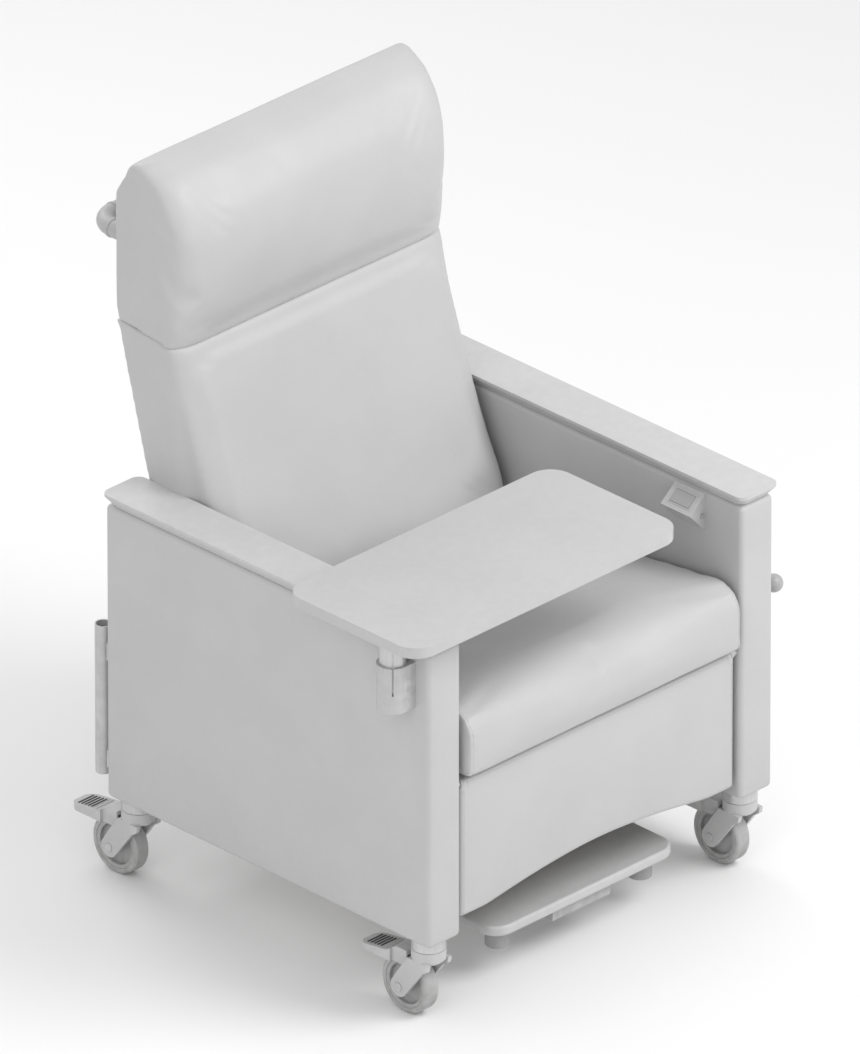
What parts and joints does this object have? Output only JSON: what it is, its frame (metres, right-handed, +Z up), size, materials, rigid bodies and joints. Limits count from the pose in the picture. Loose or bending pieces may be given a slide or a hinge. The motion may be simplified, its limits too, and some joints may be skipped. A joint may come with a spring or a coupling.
{
  "type": "patient recliner chair",
  "caption": "Reclining hospital chair with padded side panels, lifting leg rest, foot board, push bar, swivelling side table and braked casters",
  "frame": {"origin": "on the floor, under the centre of the chair's outline as seen from above", "axes": "+X is the sitter's left, -Y is the front of the chair and +Z is up"},
  "size_m": [0.9112, 0.9208, 1.222],
  "materials": {
    "upholstery": "satin vinyl-coated fabric",
    "moulding": "fine textured moulding",
    "laminate": "satin laminate",
    "plywood": "plain",
    "frame_paint": "powder coated",
    "bright_steel": "zinc plated",
    "satin_steel": "satin",
    "actuator_case": "satin",
    "black_plastic": "satin",
    "black_rubber": "matt",
    "caster_shell": "satin moulding",
    "wheel_core": "satin moulding",
    "tyre": "soft polyurethane tread"
  },
  "bodies": {
    "base": {"base_frame": "frame_paint", "side_panel_right": "upholstery", "side_panel_left": "upholstery", "arm_cap_right": "moulding", "arm_cap_left": "moulding", "panel_screws": "bright_steel", "seat_pan": "plywood", "seat_cushion": "upholstery", "back_hinge_pins": "bright_steel", "legrest_hinge_pins": "bright_steel", "back_actuator": "actuator_case", "legrest_actuator": "actuator_case", "actuator_pins": "bright_steel", "control_box": "actuator_case", "leads": "black_rubber", "table_socket": "satin_steel", "iv_pole_tube": "satin_steel", "control_housing": "moulding", "caster_stems": "bright_steel"},
    "back": {"back_frame": "frame_paint", "back_cushion": "upholstery", "head_cushion": "upholstery", "back_panel": "upholstery", "push_bar": "frame_paint"},
    "back_rod": {"back_actuator_rod": "bright_steel"},
    "legrest": {"legrest_frame": "frame_paint", "legrest_pad": "upholstery", "foot_rail": "frame_paint"},
    "legrest_rod": {"legrest_actuator_rod": "bright_steel"},
    "foot_tray": {"foot_carriage": "frame_paint", "foot_board": "moulding", "foot_pads": "black_rubber"},
    "post": {"table_post": "bright_steel"},
    "table": {"table_plate": "satin_steel", "table_top": "laminate", "table_screws": "bright_steel"},
    "lever": {"release_lever": "satin_steel", "lever_knob": "black_plastic"},
    "rocker": {"control_rocker": "black_plastic"},
    "button": {"control_button": "black_plastic"},
    "caster_front_right": {"fork_front_right": "caster_shell", "axle_front_right": "bright_steel"},
    "rolling_front_right": {"wheel_front_right": "wheel_core", "tyre_front_right": "tyre"},
    "brake_front_right": {"pedal_front_right": "caster_shell"},
    "caster_front_left": {"fork_front_left": "caster_shell", "axle_front_left": "bright_steel"},
    "rolling_front_left": {"wheel_front_left": "wheel_core", "tyre_front_left": "tyre"},
    "brake_front_left": {"pedal_front_left": "caster_shell"},
    "caster_rear_right": {"fork_rear_right": "caster_shell", "axle_rear_right": "bright_steel"},
    "rolling_rear_right": {"wheel_rear_right": "wheel_core", "tyre_rear_right": "tyre"},
    "brake_rear_right": {"pedal_rear_right": "caster_shell"},
    "caster_rear_left": {"fork_rear_left": "caster_shell", "axle_rear_left": "bright_steel"},
    "rolling_rear_left": {"wheel_rear_left": "wheel_core", "tyre_rear_left": "tyre"},
    "brake_rear_left": {"pedal_rear_left": "caster_shell"}
  },
  "joints": [
    {"name": "back_recline", "type": "hinge", "parent": "base", "child": "back", "pos_m": [0, 0.091, 0.44], "axis": [-1, 0, 0], "range_deg": [0, 50]},
    {"name": "back_rod_slide", "type": "slide", "parent": "base", "child": "back_rod", "axis": [0, -1, 0], "range_m": [0, 0.094]},
    {"name": "legrest_lift", "type": "hinge", "parent": "base", "child": "legrest", "pos_m": [0, -0.4, 0.406], "axis": [-1, 0, 0], "range_deg": [0, 80]},
    {"name": "legrest_rod_slide", "type": "slide", "parent": "base", "child": "legrest_rod", "axis": [0, -1, 0], "range_m": [0, 0.168]},
    {"name": "foot_tray_slide", "type": "slide", "parent": "legrest", "child": "foot_tray", "axis": [0, -1, 0], "range_m": [0, 0.09]},
    {"name": "table_height", "type": "slide", "parent": "base", "child": "post", "axis": [0, 0, 1], "range_m": [0, 0.04]},
    {"name": "table_swivel", "type": "hinge", "parent": "post", "child": "table", "pos_m": [-0.4055, -0.3596, 0.69], "axis": [0, 0, -1], "range_deg": [0, 115]},
    {"name": "release_lever_turn", "type": "hinge", "parent": "base", "child": "lever", "pos_m": [0.3813, -0.297, 0.463], "axis": [-1, 0, 0], "range_deg": [0, 25]},
    {"name": "rocker_tilt", "type": "hinge", "parent": "base", "child": "rocker", "pos_m": [0.29539, -0.3015, 0.6442], "axis": [0.7627, 0, 0.6468], "range_deg": [-5, 5]},
    {"name": "button_press", "type": "slide", "parent": "base", "child": "button", "axis": [0, 1, 0], "range_m": [0, 0.0015]},
    {"name": "swivel_front_right", "type": "hinge", "parent": "base", "child": "caster_front_right", "pos_m": [-0.3453, -0.378, 0.11], "axis": [0, 0, 1], "continuous": true},
    {"name": "roll_front_right", "type": "hinge", "parent": "caster_front_right", "child": "rolling_front_right", "pos_m": [-0.3453, -0.338, 0.05], "axis": [1, 0, 0], "continuous": true},
    {"name": "brake_press_front_right", "type": "hinge", "parent": "caster_front_right", "child": "brake_front_right", "pos_m": [-0.3453, -0.359, 0.098], "axis": [-1, 0, 0], "range_deg": [0, 6]},
    {"name": "swivel_front_left", "type": "hinge", "parent": "base", "child": "caster_front_left", "pos_m": [0.3453, -0.378, 0.11], "axis": [0, 0, 1], "continuous": true},
    {"name": "roll_front_left", "type": "hinge", "parent": "caster_front_left", "child": "rolling_front_left", "pos_m": [0.3453, -0.338, 0.05], "axis": [1, 0, 0], "continuous": true},
    {"name": "brake_press_front_left", "type": "hinge", "parent": "caster_front_left", "child": "brake_front_left", "pos_m": [0.3453, -0.359, 0.098], "axis": [-1, 0, 0], "range_deg": [0, 6]},
    {"name": "swivel_rear_right", "type": "hinge", "parent": "base", "child": "caster_rear_right", "pos_m": [-0.3453, 0.265, 0.11], "axis": [0, 0, 1], "continuous": true},
    {"name": "roll_rear_right", "type": "hinge", "parent": "caster_rear_right", "child": "rolling_rear_right", "pos_m": [-0.3453, 0.305, 0.05], "axis": [1, 0, 0], "continuous": true},
    {"name": "brake_press_rear_right", "type": "hinge", "parent": "caster_rear_right", "child": "brake_rear_right", "pos_m": [-0.3453, 0.284, 0.098], "axis": [-1, 0, 0], "range_deg": [0, 6]},
    {"name": "swivel_rear_left", "type": "hinge", "parent": "base", "child": "caster_rear_left", "pos_m": [0.3453, 0.265, 0.11], "axis": [0, 0, 1], "continuous": true},
    {"name": "roll_rear_left", "type": "hinge", "parent": "caster_rear_left", "child": "rolling_rear_left", "pos_m": [0.3453, 0.305, 0.05], "axis": [1, 0, 0], "continuous": true},
    {"name": "brake_press_rear_left", "type": "hinge", "parent": "caster_rear_left", "child": "brake_rear_left", "pos_m": [0.3453, 0.284, 0.098], "axis": [-1, 0, 0], "range_deg": [0, 6]}
  ],
  "couplings": [
    {"joint": "back_rod_slide", "follows": "back_recline", "m_per_rad": 0.10654},
    {"joint": "legrest_rod_slide", "follows": "legrest_lift", "m_per_rad": 0.11969}
  ]
}
